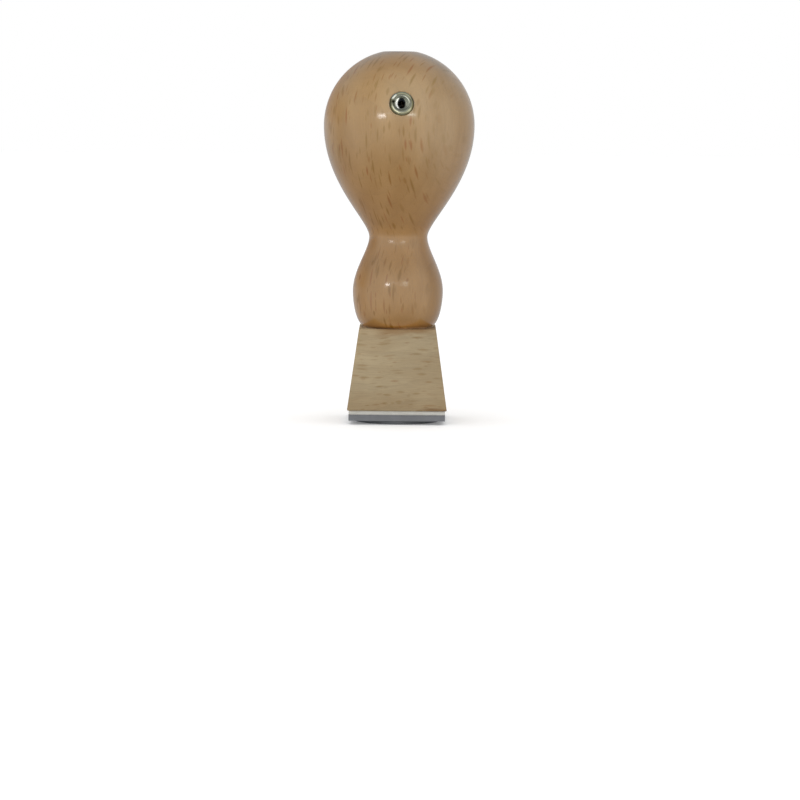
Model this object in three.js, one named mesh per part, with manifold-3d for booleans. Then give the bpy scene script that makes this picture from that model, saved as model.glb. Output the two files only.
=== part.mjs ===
// A wooden hand stamp. A turned and lacquered beech handle stands on a tapered block of raw beech,
// held by glue and a double-ended wood screw. Under the block lie a layer of foam and a rubber die
// engraved in relief. A metal eyelet in the knob marks the front.
// Millimetres. +Z is up, the paper is the plane z = 0, and the front of the stamp faces -Y.

import * as THREE from "three";
import { mergeVertices } from "three/addons/utils/BufferGeometryUtils.js";
import Module from "manifold-3d";

const wasm = await Module();
wasm.setup();

// Handle, turned from one piece of beech
const handleHeight = 65;
const knobDiameter = 35.6;
const crownFlatDiameter = 7.6;
const waistDiameter = 13.8;
const waistHeight = 21.4;
const bulbDiameter = 21.4;
const bulbHeight = 8.5;
const footDiameter = 14.8;
const handleTurn = 1.8;

// Fullness of the handle's outline: how far the curve runs on along the axis from its widest or
// narrowest ring before it turns, as a share of the height to the next ring
const knobFullness = 0.516;
const waistFullnessAbove = 0.14;
const waistFullnessBelow = 0.248;
const bulbFullnessAbove = 0.4;
const bulbFullnessBelow = 0.3;
const footRollOut = 0.78;

// Block, sawn from a beech board with all four sides leaning in
const blockWidth = 23.5;
const blockHeight = 19;
const blockLean = 8;
const blockEdgeBreak = 0.25;
const blockCornerRadius = 0.3;

// Foam and die, cut square and stopping a little short of the block's edges
const padInset = 0.4;
const padCornerRadius = 0.3;
const foamThickness = 1;
const dieFloorThickness = 1.4;
const reliefDepth = 0.9;

// Die relief: a border, six petals and a dot between each two
const borderDiameter = 20.6;
const borderWidth = 0.8;
const petalCount = 6;
const petalInnerRadius = 1.3;
const petalOuterRadius = 8.6;
const dotRadiusOut = 7.1;
const dotDiameter = 1.5;
const centreDotDiameter = 1.3;
const reliefShoulder = 0.3;

// Double-ended wood screw in the joint
const screwDiameter = 4;
const screwShankDiameter = 3.1;
const screwShankLength = 3;
const screwPointLength = 3.5;
const screwInHandle = 18;
const screwFit = 0.15;
const screwTipRoom = 1;
const woodUnderScrew = 6;
const boreMouthDiameter = 6;
const drillPointAngle = 118;

// Eyelet that marks the front, square to the knob's surface
const markerAngle = 17;
const eyeletFlangeDiameter = 5.7;
const eyeletCrestDiameter = 4.1;
const eyeletMouthDiameter = 3.1;
const eyeletBoreDiameter = 1.5;
const eyeletFlare = 41;
const eyeletSheet = 0.3;
const eyeletRise = 0.75;
const eyeletMouthDrop = 0.12;
const eyeletLength = 5.5;
const eyeletSeatDepth = 0.4;
const eyeletSeatFit = 0.15;
const eyeletBarrelFit = 0.15;
const eyeletSeatGap = 0.1;

// Facets
const handleFacets = 64;
const smallFacets = 32;
const curvePoints = 8;
const reliefPoints = 8;
const borderPoints = 24;
const cornerPoints = 3;

// Heights of the faces that the pieces share
const blockBase = reliefDepth + dieFloorThickness + foamThickness;
const jointHeight = blockBase + blockHeight;

const knobRadius = knobDiameter / 2;
const crownFlatRadius = crownFlatDiameter / 2;
const knobHeight = handleHeight - Math.sqrt(knobRadius ** 2 - crownFlatRadius ** 2);

// The eyelet's flare, between its mouth and its bore
const flareAngle = (eyeletFlare * Math.PI) / 180;
const mouthHeight = eyeletRise - eyeletMouthDrop;
const throatDepth = (eyeletMouthDiameter - eyeletBoreDiameter) / 2 / Math.tan(flareAngle);
const throatHeight = mouthHeight - throatDepth;

const lacqueredBeech = new THREE.MeshStandardMaterial({ color: "#a6875e", roughness: 0.25 });
const rawBeech = new THREE.MeshStandardMaterial({ color: "#a39275", roughness: 0.75 });
const nickel = new THREE.MeshStandardMaterial({ color: "#b4b6a6", roughness: 0.2, metalness: 1 });
const zincSteel = new THREE.MeshStandardMaterial({ color: "#b9bbbd", roughness: 0.35, metalness: 1 });
const foam = new THREE.MeshStandardMaterial({ color: "#d9d8d3", roughness: 0.95 });
const greyRubber = new THREE.MeshStandardMaterial({ color: "#7f8286", roughness: 0.7 });

const radians = THREE.MathUtils.degToRad;

// A closed geometry as a solid that can be joined and cut.
function solidOf(geometry) {
  const bare = geometry.index ? geometry.toNonIndexed() : geometry.clone();
  bare.deleteAttribute("normal");
  bare.deleteAttribute("uv");
  const merged = mergeVertices(bare, 1e-4);
  const vertProperties = merged.attributes.position.array;
  const triVerts = new Uint32Array(merged.index.array);
  return new wasm.Manifold(new wasm.Mesh({ numProp: 3, vertProperties, triVerts }));
}

// A solid's surface as a geometry, with a normal for each facet.
function geometryOf(solid) {
  const { vertProperties, triVerts } = solid.getMesh();
  const geometry = new THREE.BufferGeometry();
  geometry.setAttribute("position", new THREE.BufferAttribute(vertProperties, 3));
  geometry.setIndex(new THREE.BufferAttribute(triVerts, 1));
  const faceted = geometry.toNonIndexed();
  faceted.computeVertexNormals();
  return faceted;
}

// An outline of (radius, height) turned about the Z axis.
function turned(outline, facets, divisions = curvePoints) {
  const geometry = new THREE.LatheGeometry(outline.getPoints(divisions), facets);
  return geometry.rotateX(Math.PI / 2);
}

// A square of rounded corners at a height, as a ring of points that runs anticlockwise.
function squareRing(halfWidth, cornerRadius, height) {
  const centre = halfWidth - cornerRadius;
  const ring = [];
  for (let corner = 0; corner < 4; corner++) {
    const middle = Math.PI / 4 + (corner * Math.PI) / 2;
    const x = Math.sign(Math.cos(middle)) * centre;
    const y = Math.sign(Math.sin(middle)) * centre;
    for (let i = 0; i <= cornerPoints; i++) {
      const angle = ((corner + i / cornerPoints) * Math.PI) / 2;
      ring.push(
        new THREE.Vector3(
          x + cornerRadius * Math.cos(angle),
          y + cornerRadius * Math.sin(angle),
          height,
        ),
      );
    }
  }
  return ring;
}

// A skin over rings of equal counts, stacked upwards, closed by a flat face at each end.
function lofted(rings) {
  const count = rings[0].length;
  const points = rings.flat();
  const faces = [];
  for (let level = 0; level < rings.length - 1; level++) {
    for (let i = 0; i < count; i++) {
      const a = level * count + i;
      const b = level * count + ((i + 1) % count);
      faces.push(a, b, b + count, a, b + count, a + count);
    }
  }
  const last = (rings.length - 1) * count;
  for (let i = 1; i < count - 1; i++) {
    faces.push(0, i + 1, i, last, last + i, last + i + 1);
  }
  const geometry = new THREE.BufferGeometry().setFromPoints(points);
  geometry.setIndex(faces);
  return geometry;
}

// Bore for one end of the screw, open at z = 0 and running down: a countersunk mouth, so that
// fibres raised by the thread can't hold the joint open, and the cone that a drill leaves.
function screwBore(depth) {
  const radius = screwDiameter / 2 + screwFit;
  const mouth = boreMouthDiameter / 2;
  const cone = radius / Math.tan(radians(drillPointAngle / 2));
  const overshoot = 1;
  const outline = new THREE.Path();
  outline.moveTo(0, -depth - cone);
  outline.lineTo(radius, -depth);
  outline.lineTo(radius, radius - mouth);
  outline.lineTo(mouth, 0);
  outline.lineTo(mouth, overshoot);
  outline.lineTo(0, overshoot);
  return solidOf(turned(outline, smallFacets));
}

// Where the eyelet sits: its own z = 0 is the floor of its seat and +Z points out of the knob.
function markerPlace() {
  const outward = new THREE.Vector3(0, -Math.cos(radians(markerAngle)), Math.sin(radians(markerAngle)));
  const place = new THREE.Object3D();
  place.position.set(0, 0, knobHeight).addScaledVector(outward, knobRadius - eyeletSeatDepth);
  place.quaternion.setFromUnitVectors(new THREE.Vector3(0, 0, 1), outward);
  place.updateMatrix();
  return place;
}

// Seat and bore of the eyelet, in the eyelet's own frame. The bore is countersunk where the flare
// reaches down past the seat.
function markerBore() {
  const seat = eyeletFlangeDiameter / 2 + eyeletSeatFit;
  const inside = eyeletBoreDiameter / 2;
  const bore = inside + eyeletSheet + eyeletBarrelFit;
  const sunk = -throatHeight - eyeletSeatGap;
  const sheetAcross = eyeletSheet / Math.cos(flareAngle);
  const mouth = inside + sunk * Math.tan(flareAngle) + sheetAcross + eyeletBarrelFit;
  const outline = new THREE.Path();
  outline.moveTo(0, -eyeletLength - eyeletSheet);
  outline.lineTo(bore, -eyeletLength - eyeletSheet);
  if (mouth > bore) {
    outline.lineTo(bore, (bore - mouth) / Math.tan(flareAngle));
  }
  outline.lineTo(Math.max(mouth, bore), 0);
  outline.lineTo(seat, 0);
  outline.lineTo(seat, eyeletSeatDepth + eyeletRise);
  outline.lineTo(0, eyeletSeatDepth + eyeletRise);
  return turned(outline, smallFacets);
}

// Foot, bulb, waist, flank and crown in one run of curves. The crown is part of a sphere.
function handleOutline() {
  const foot = footDiameter / 2;
  const bulb = bulbDiameter / 2;
  const waist = waistDiameter / 2;
  const bulbToWaist = waistHeight - bulbHeight;
  const waistToKnob = knobHeight - waistHeight;
  const outline = new THREE.Path();
  outline.moveTo(0, 0);
  outline.lineTo(foot, 0);
  outline.bezierCurveTo(
    foot + footRollOut * (bulb - foot),
    0,
    bulb,
    bulbHeight - bulbFullnessBelow * bulbHeight,
    bulb,
    bulbHeight,
  );
  outline.bezierCurveTo(
    bulb,
    bulbHeight + bulbFullnessAbove * bulbToWaist,
    waist,
    waistHeight - waistFullnessBelow * bulbToWaist,
    waist,
    waistHeight,
  );
  outline.bezierCurveTo(
    waist,
    waistHeight + waistFullnessAbove * waistToKnob,
    knobRadius,
    knobHeight - knobFullness * waistToKnob,
    knobRadius,
    knobHeight,
  );
  outline.absarc(0, knobHeight, knobRadius, 0, Math.acos(crownFlatRadius / knobRadius), false);
  outline.lineTo(0, handleHeight);
  return outline;
}

function handleGeometry(marker) {
  const blank = solidOf(turned(handleOutline(), handleFacets));
  const upright = screwBore(screwInHandle + screwTipRoom).rotate([180, 0, 0]);
  const markerHole = solidOf(markerBore().applyMatrix4(marker.matrix));
  return geometryOf(blank.subtract(upright).subtract(markerHole));
}

// Drawn eyelet: a tube whose end flares to a mouth and is rolled out and over into a domed flange.
// The sheet is as thick everywhere, so the flange is hollow underneath.
function eyeletGeometry() {
  const rim = eyeletFlangeDiameter / 2;
  const crest = eyeletCrestDiameter / 2;
  const mouth = eyeletMouthDiameter / 2;
  const bore = eyeletBoreDiameter / 2;
  const outside = bore + eyeletSheet;
  const flare = flareAngle;
  const quarter = Math.PI / 2;
  const outline = new THREE.Path();
  outline.moveTo(rim, 0);
  outline.absellipse(crest, 0, rim - crest, eyeletRise, 0, quarter, false);
  outline.quadraticCurveTo(mouth + eyeletMouthDrop * Math.tan(flare), eyeletRise, mouth, mouthHeight);
  outline.lineTo(bore, throatHeight);
  outline.lineTo(bore, -eyeletLength);
  outline.lineTo(outside, -eyeletLength);
  outline.lineTo(outside, throatHeight - eyeletSheet * Math.tan(flare / 2));
  outline.lineTo(mouth + eyeletSheet * Math.cos(flare), mouthHeight - eyeletSheet * Math.sin(flare));
  outline.lineTo(crest, eyeletRise - eyeletSheet);
  outline.absellipse(crest, 0, rim - eyeletSheet - crest, eyeletRise - eyeletSheet, quarter, 0, true);
  outline.lineTo(rim, 0);
  return turned(outline, smallFacets, curvePoints / 2);
}

// Screw with a thread and a point at each end and a thinner plain shank between. The threads are
// drawn at their crest diameter. Its z = 0 lies in the joint.
function screwGeometry(lengthInBlock) {
  const crest = screwDiameter / 2;
  const shank = screwShankDiameter / 2;
  const step = crest - shank;
  const outline = new THREE.Path();
  outline.moveTo(0, -lengthInBlock);
  outline.lineTo(crest, -lengthInBlock + screwPointLength);
  outline.lineTo(crest, -screwShankLength / 2 - step);
  outline.lineTo(shank, -screwShankLength / 2);
  outline.lineTo(shank, screwShankLength / 2);
  outline.lineTo(crest, screwShankLength / 2 + step);
  outline.lineTo(crest, screwInHandle - screwPointLength);
  outline.lineTo(0, screwInHandle);
  return turned(outline, smallFacets);
}

// Board block, widest at its base, with the sawn edges broken.
function blockGeometry(boreDepth) {
  const slope = Math.tan(radians(blockLean));
  const halfAt = (height) => blockWidth / 2 - slope * height;
  const ringAt = (height, drawnIn) =>
    squareRing(halfAt(height) - drawnIn, blockCornerRadius, height);
  const skin = lofted([
    ringAt(0, blockEdgeBreak),
    ringAt(blockEdgeBreak, 0),
    ringAt(blockHeight - blockEdgeBreak, 0),
    ringAt(blockHeight, blockEdgeBreak),
  ]);
  const bore = screwBore(boreDepth).translate([0, 0, blockHeight]);
  return geometryOf(solidOf(skin).subtract(bore));
}

// Square pad that follows the block's base, from one height to another.
function padGeometry(bottom, top) {
  const half = blockWidth / 2 - padInset;
  return lofted([squareRing(half, padCornerRadius, bottom), squareRing(half, padCornerRadius, top)]);
}

// One raised figure of the die, printing at z = 0 and widening to its root by the shoulder.
function raised(shape, points) {
  const land = 0.1;
  const geometry = new THREE.ExtrudeGeometry(shape, {
    depth: land,
    curveSegments: points,
    bevelThickness: reliefDepth,
    bevelSize: reliefShoulder,
    bevelSegments: 1,
  });
  return geometry.translate(0, 0, reliefDepth);
}

function discShape(x, y, diameter) {
  const shape = new THREE.Shape();
  shape.absarc(x, y, diameter / 2, 0, 2 * Math.PI, false);
  return shape;
}

function borderShape() {
  const shape = discShape(0, 0, borderDiameter);
  const inside = new THREE.Path();
  inside.absarc(0, 0, borderDiameter / 2 - borderWidth, 0, 2 * Math.PI, true);
  shape.holes.push(inside);
  return shape;
}

// A petal is what two equal discs share, each passing through the other's centre line so that
// both sides are arcs of a sixth of a turn.
function petalShape() {
  const length = petalOuterRadius - petalInnerRadius;
  const middle = petalInnerRadius + length / 2;
  const centreOffset = length * Math.cos(Math.PI / 6);
  const sixth = Math.PI / 3;
  const shape = new THREE.Shape();
  shape.absarc(middle, centreOffset, length, -2 * sixth, -sixth, false);
  shape.absarc(middle, -centreOffset, length, sixth, 2 * sixth, false);
  return shape;
}

// Rubber die: the blank, engraved down to its floor everywhere but under the raised figures.
function dieGeometry() {
  const thickness = reliefDepth + dieFloorThickness;
  const blank = solidOf(padGeometry(0, thickness));
  const floor = solidOf(padGeometry(reliefDepth, thickness));
  const figures = [
    raised(borderShape(), borderPoints),
    raised(discShape(0, 0, centreDotDiameter), reliefPoints),
  ];
  for (let i = 0; i < petalCount; i++) {
    const turn = ((i + 0.5) * 2 * Math.PI) / petalCount;
    const between = turn + Math.PI / petalCount;
    const dot = discShape(dotRadiusOut, 0, dotDiameter);
    figures.push(raised(petalShape(), reliefPoints).rotateZ(turn));
    figures.push(raised(dot, reliefPoints).rotateZ(between));
  }
  return geometryOf(figures.reduce((die, figure) => die.add(solidOf(figure).intersect(blank)), floor));
}

function piece(name, geometry, material) {
  const mesh = new THREE.Mesh(geometry, material);
  mesh.name = name;
  return mesh;
}

const stamp = new THREE.Group();

stamp.add(piece("rubber_die", dieGeometry(), greyRubber));
stamp.add(piece("foam_layer", padGeometry(reliefDepth + dieFloorThickness, blockBase), foam));

const blockBoreDepth = blockHeight - woodUnderScrew;
const block = piece("mount_block", blockGeometry(blockBoreDepth), rawBeech);
block.position.z = blockBase;
stamp.add(block);

const upper = new THREE.Group();
upper.position.z = jointHeight;
upper.rotation.z = radians(handleTurn);
const marker = markerPlace();
const eyelet = piece("front_marker_eyelet", eyeletGeometry(), nickel);
eyelet.position.z = eyeletSeatGap;
marker.add(eyelet);
upper.add(piece("turned_handle", handleGeometry(marker), lacqueredBeech));
upper.add(marker);
upper.add(piece("joint_screw", screwGeometry(blockBoreDepth - screwTipRoom), zincSteel));
stamp.add(upper);

export default stamp;
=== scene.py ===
"""A wooden hand stamp: lacquered beech handle on a raw beech block, with foam, die and eyelet.

Metres. +Z is up, the paper is the plane z = 0 and the front of the stamp faces -Y.
"""

import math

import bmesh
import bpy
from mathutils import Matrix, Vector, noise


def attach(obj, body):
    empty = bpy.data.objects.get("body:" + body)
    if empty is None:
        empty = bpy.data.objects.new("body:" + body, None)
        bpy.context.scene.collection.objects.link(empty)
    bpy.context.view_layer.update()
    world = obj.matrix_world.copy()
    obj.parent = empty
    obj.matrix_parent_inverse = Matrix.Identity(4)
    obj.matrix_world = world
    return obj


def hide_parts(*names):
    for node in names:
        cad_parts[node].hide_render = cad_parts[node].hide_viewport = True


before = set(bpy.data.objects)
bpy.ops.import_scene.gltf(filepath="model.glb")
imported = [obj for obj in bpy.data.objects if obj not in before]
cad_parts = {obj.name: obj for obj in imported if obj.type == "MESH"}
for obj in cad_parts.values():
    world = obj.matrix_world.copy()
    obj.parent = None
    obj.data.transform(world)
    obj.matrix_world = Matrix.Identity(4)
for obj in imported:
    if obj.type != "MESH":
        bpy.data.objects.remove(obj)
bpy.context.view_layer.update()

MM = 0.001

# Sizes in millimetres, the same as the solids have
HANDLE_HEIGHT = 65
KNOB_RADIUS = 17.8
CROWN_FLAT_RADIUS = 3.8
WAIST_RADIUS = 6.9
WAIST_HEIGHT = 21.4
BULB_RADIUS = 10.7
BULB_HEIGHT = 8.5
FOOT_RADIUS = 7.4
HANDLE_TURN = math.radians(1.8)
KNOB_FULLNESS = 0.516
WAIST_FULLNESS_ABOVE = 0.14
WAIST_FULLNESS_BELOW = 0.248
BULB_FULLNESS_ABOVE = 0.4
BULB_FULLNESS_BELOW = 0.3
FOOT_ROLL_OUT = 0.78

BLOCK_HALF = 11.75
BLOCK_HEIGHT = 19
BLOCK_SLOPE = math.tan(math.radians(8))
EDGE_BREAK = 0.25
CORNER_RADIUS = 0.3

PAD_HALF = 11.35
FOAM_THICKNESS = 1
DIE_FLOOR = 1.4
RELIEF = 0.9

BORDER_RADIUS = 10.3
BORDER_WIDTH = 0.8
PETALS = 6
PETAL_INNER = 1.3
PETAL_OUTER = 8.6
DOT_RADIUS_OUT = 7.1
DOT_RADIUS = 0.75
CENTRE_DOT_RADIUS = 0.65
SHOULDER = 0.3

SCREW_RADIUS = 2
SCREW_SHANK_RADIUS = 1.55
SCREW_SHANK = 3
SCREW_POINT = 3.5
SCREW_IN_HANDLE = 18
SCREW_IN_BLOCK = 12
THREAD_PITCH = 1.8
THREAD_DEPTH = 0.62
BORE_RADIUS = 2.15
BORE_MOUTH = 3
BORE_CONE = BORE_RADIUS / math.tan(math.radians(59))

MARKER_ANGLE = math.radians(17)
FLANGE_RADIUS = 2.85
CREST_RADIUS = 2.05
MOUTH_RADIUS = 1.55
THROAT_RADIUS = 0.75
FLARE = math.radians(41)
SHEET = 0.3
FLANGE_RISE = 0.75
MOUTH_DROP = 0.12
EYELET_LENGTH = 5.5
SEAT_DEPTH = 0.4
SEAT_FIT = 0.15
BARREL_FIT = 0.15
SEAT_GAP = 0.1

BLOCK_BASE = RELIEF + DIE_FLOOR + FOAM_THICKNESS
JOINT = BLOCK_BASE + BLOCK_HEIGHT
KNOB_HEIGHT = HANDLE_HEIGHT - math.sqrt(KNOB_RADIUS**2 - CROWN_FLAT_RADIUS**2)

MOUTH_HEIGHT = FLANGE_RISE - MOUTH_DROP
THROAT_HEIGHT = MOUTH_HEIGHT - (MOUTH_RADIUS - THROAT_RADIUS) / math.tan(FLARE)

HANDLE_PLACE = Matrix.Translation((0, 0, JOINT)) @ Matrix.Rotation(HANDLE_TURN, 4, "Z")
MARKER_OUT = Vector((0, -math.cos(MARKER_ANGLE), math.sin(MARKER_ANGLE)))
MARKER_PLACE = (
    HANDLE_PLACE
    @ Matrix.Translation(Vector((0, 0, KNOB_HEIGHT)) + MARKER_OUT * (KNOB_RADIUS - SEAT_DEPTH))
    @ Matrix.Rotation(math.pi / 2 - MARKER_ANGLE, 4, "X")
)


def linked(name, data):
    """Object with this data, in the scene."""
    made = bpy.data.objects.new(name, data)
    bpy.context.scene.collection.objects.link(made)
    return made


# Camera and lamps

LAMPS_AIM = Vector((0, 0, 0.05))


def make_camera():
    place, target, roll = Vector((0.00073, -0.7, 0.07432)), Vector((0.00073, 0, 0.00478)), 0.49
    data = bpy.data.cameras.new("camera")
    data.lens = 132.79
    data.sensor_width = 36
    camera = linked("camera", data)
    camera.location = place
    turn = (target - place).to_track_quat("-Z", "Y").to_matrix()
    camera.rotation_euler = (turn @ Matrix.Rotation(math.radians(roll), 3, "Z")).to_euler()
    bpy.context.scene.camera = camera


def lamp(name, azimuth, elevation, distance, size, radiance, colour=(1, 1, 1), glossy=True):
    """Area lamp aimed at the stamp's middle. Azimuth 0 is the front and 90 the right side."""
    a, e = math.radians(azimuth), math.radians(elevation)
    way = Vector((math.sin(a) * math.cos(e), -math.cos(a) * math.cos(e), math.sin(e)))
    data = bpy.data.lights.new(name, "AREA")
    data.shape = "RECTANGLE"
    data.size, data.size_y = size
    data.energy = radiance * math.pi * size[0] * size[1]
    data.color = colour
    made = linked(name, data)
    made.location = LAMPS_AIM + way * distance
    made.rotation_euler = way.to_track_quat("Z", "Y").to_euler()
    made.visible_glossy = glossy
    return made


def shine_only_on(light, piece):
    group = bpy.data.collections.new(light.name + "_receivers")
    group.objects.link(piece)
    light.light_linking.receiver_collection = group


# Node materials

class Shader:
    """Short names for the nodes of one node tree."""

    def __init__(self, tree):
        self.tree = tree

    def add(self, kind, **settings):
        node = self.tree.nodes.new(kind)
        for key, value in settings.items():
            setattr(node, key, value)
        return node

    def put(self, value, socket):
        if isinstance(value, bpy.types.NodeSocket):
            self.tree.links.new(value, socket)
        else:
            socket.default_value = value

    def fed(self, node, values, output=0):
        """Puts the values into a node's first inputs and gives one of its outputs."""
        for value, socket in zip(values, node.inputs):
            self.put(value, socket)
        return node.outputs[output]

    def math(self, operation, *values):
        return self.fed(self.add("ShaderNodeMath", operation=operation), values)

    def plus(self, value, *others):
        for other in others:
            value = self.math("ADD", value, other)
        return value

    def minus(self, value, other):
        return self.math("SUBTRACT", value, other)

    def times(self, value, *others):
        for other in others:
            value = self.math("MULTIPLY", value, other)
        return value

    def off(self, value, middle):
        """How far a value is from the middle, to either side."""
        return self.math("ABSOLUTE", self.minus(value, middle))

    def vector(self, operation, *values):
        node = self.add("ShaderNodeVectorMath", operation=operation)
        output = "Value" if operation in ("DOT_PRODUCT", "LENGTH") else "Vector"
        return self.fed(node, values, output)

    def along(self, vector, way):
        return self.vector("DOT_PRODUCT", vector, tuple(way))

    def distance(self, place, point):
        return self.vector("LENGTH", self.vector("SUBTRACT", place, point))

    def scaled(self, vector, factor):
        node = self.add("ShaderNodeVectorMath", operation="SCALE")
        self.put(factor, node.inputs["Scale"])
        return self.fed(node, (vector,))

    def joined(self, x, y, z):
        return self.fed(self.add("ShaderNodeCombineXYZ"), (x, y, z))

    def even(self, level):
        return self.joined(level, level, level)

    def parts(self, vector):
        node = self.add("ShaderNodeSeparateXYZ")
        self.put(vector, node.inputs[0])
        return node.outputs[0], node.outputs[1], node.outputs[2]

    def remap(self, value, low, high, to_low=0.0, to_high=1.0, smooth=True):
        kind = "SMOOTHSTEP" if smooth else "LINEAR"
        node = self.add("ShaderNodeMapRange", interpolation_type=kind)
        return self.fed(node, (value, low, high, to_low, to_high))

    def noise(self, vector, scale=1.0, detail=2.0, roughness=0.5, colour=False):
        node = self.add("ShaderNodeTexNoise")
        self.put(vector, node.inputs["Vector"])
        node.inputs["Scale"].default_value = scale
        node.inputs["Detail"].default_value = detail
        node.inputs["Roughness"].default_value = roughness
        return node.outputs["Color" if colour else "Fac"]

    def lumps(self, vector, size, **settings):
        """Noise whose lumps have this size along the three axes."""
        return self.noise(self.vector("DIVIDE", vector, size), **settings)

    def cells(self, vector, scale=1.0):
        node = self.add("ShaderNodeTexVoronoi", feature="F1", voronoi_dimensions="3D")
        self.put(vector, node.inputs["Vector"])
        node.inputs["Scale"].default_value = scale
        node.inputs["Randomness"].default_value = 1
        return node.outputs

    def mix(self, factor, a, b, blend="MIX"):
        node = self.add("ShaderNodeMix", data_type="RGBA", blend_type=blend)
        for value, index in ((factor, 0), (a, 6), (b, 7)):
            if isinstance(value, tuple) and len(value) == 3:
                value = (*value, 1)
            self.put(value, node.inputs[index])
        return node.outputs[2]

    def stain(self, factor, colour, tint):
        """The colour times the tint, as far as the factor says."""
        return self.mix(factor, colour, tint, blend="MULTIPLY")

    def bump(self, height, distance):
        """Height is in units of the distance, and the distance in metres."""
        node = self.add("ShaderNodeBump")
        node.inputs["Strength"].default_value = 1
        node.inputs["Distance"].default_value = distance
        self.put(height, node.inputs["Height"])
        return node.outputs[0]


def new_material(name, **constants):
    """Material, its node names and its Principled shader with the constants set on its sockets."""
    material = bpy.data.materials.new(name)
    material.use_nodes = True
    shader = material.node_tree.nodes["Principled BSDF"]
    for key, value in constants.items():
        shader.inputs[key.replace("_", " ")].default_value = value
    return material, Shader(material.node_tree), shader


def place_mm(s):
    """Where the shaded point is, in millimetres."""
    return s.scaled(s.add("ShaderNodeTexCoord").outputs["Object"], 1 / MM)


def eyelet_place(s):
    """The shaded point in the eyelet's own frame, in mm: to its right, up it and out of it."""
    away = s.vector("SUBTRACT", place_mm(s), tuple(MARKER_PLACE.to_translation()))
    turn = MARKER_PLACE.to_3x3()
    return [s.along(away, turn.col[i]) for i in range(3)]


# Wood

PITH_DEPTH = 70
RING_WIDTH = 2.3

# Sizes of beech rays. Spacing and size are in mm across, radial and along, and the last of each
# grows with the wood's ray length where grows is set. shift moves the pattern by that many cells,
# present is the share of the cells with a ray and soft how gently its edge fades. strength is
# how strongly it shows, or None where the wood sets it, and red the random number from which its
# brown turns to red.
RAYS = {
    "small": dict(
        spacing=(0.42, 1.9, 1.3), size=(0.15, 1.8, 0.95), shift=(3.7, 8.2, 1.9),
        present=0.6, soft=0.9, grows=False, strength=0.34, red=None,
    ),
    "middle": dict(
        spacing=(0.95, 4.5, 3.9), size=(0.5, 4.4, 3.6), shift=(7.3, 3.6, 5.1),
        present=0.5, soft=1, grows=True, strength=0.82, red=0.4,
    ),
    "big": dict(
        spacing=(1.4, 7, 6), size=(0.88, 7.4, 6), shift=(0.3, 0.6, 0.1),
        present=0.8, soft=1, grows=True, strength=1, red=0.4,
    ),
    "broad": dict(
        spacing=(1.7, 6, 4.6), size=(1.15, 5.2, 3.4), shift=(2.2, 5.7, 3.4),
        present=0.55, soft=0.8, grows=True, strength=None, red=0.55,
    ),
}
SMALL_RAY_HUE = 0.2


def ray_cells(s, grain, kind, length):
    """Wood rays of one kind: thin upright lenses, scattered through the wood.

    grain is (across, radial, along) in mm. Gives the ray mask and a random number for each ray.
    """
    longer = (1, 1, length if kind["grows"] else 1)
    spacing = [a * b for a, b in zip(kind["spacing"], longer)]
    size = [a * b for a, b in zip(kind["size"], longer)]
    scaled = s.vector("ADD", s.vector("DIVIDE", grain, spacing), kind["shift"])
    cells = s.cells(scaled)
    offset = s.vector("SUBTRACT", scaled, cells["Position"])
    offset = s.vector("MULTIPLY", offset, [2 * a / b for a, b in zip(spacing, size)])
    across, radial, along = s.parts(offset)
    chance, stretch, shade = s.parts(cells["Color"])
    along = s.times(along, s.remap(stretch, 0, 1, 1.9, 0.8, smooth=False))
    reach = s.plus(s.times(along, along), s.times(radial, radial))
    depth = s.minus(s.minus(1, reach), s.math("ABSOLUTE", across))
    missing = 1 - kind["present"]
    there = s.remap(chance, missing - 0.05, missing + 0.05)
    return s.times(s.remap(depth, 0, kind["soft"]), there), shade


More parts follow.
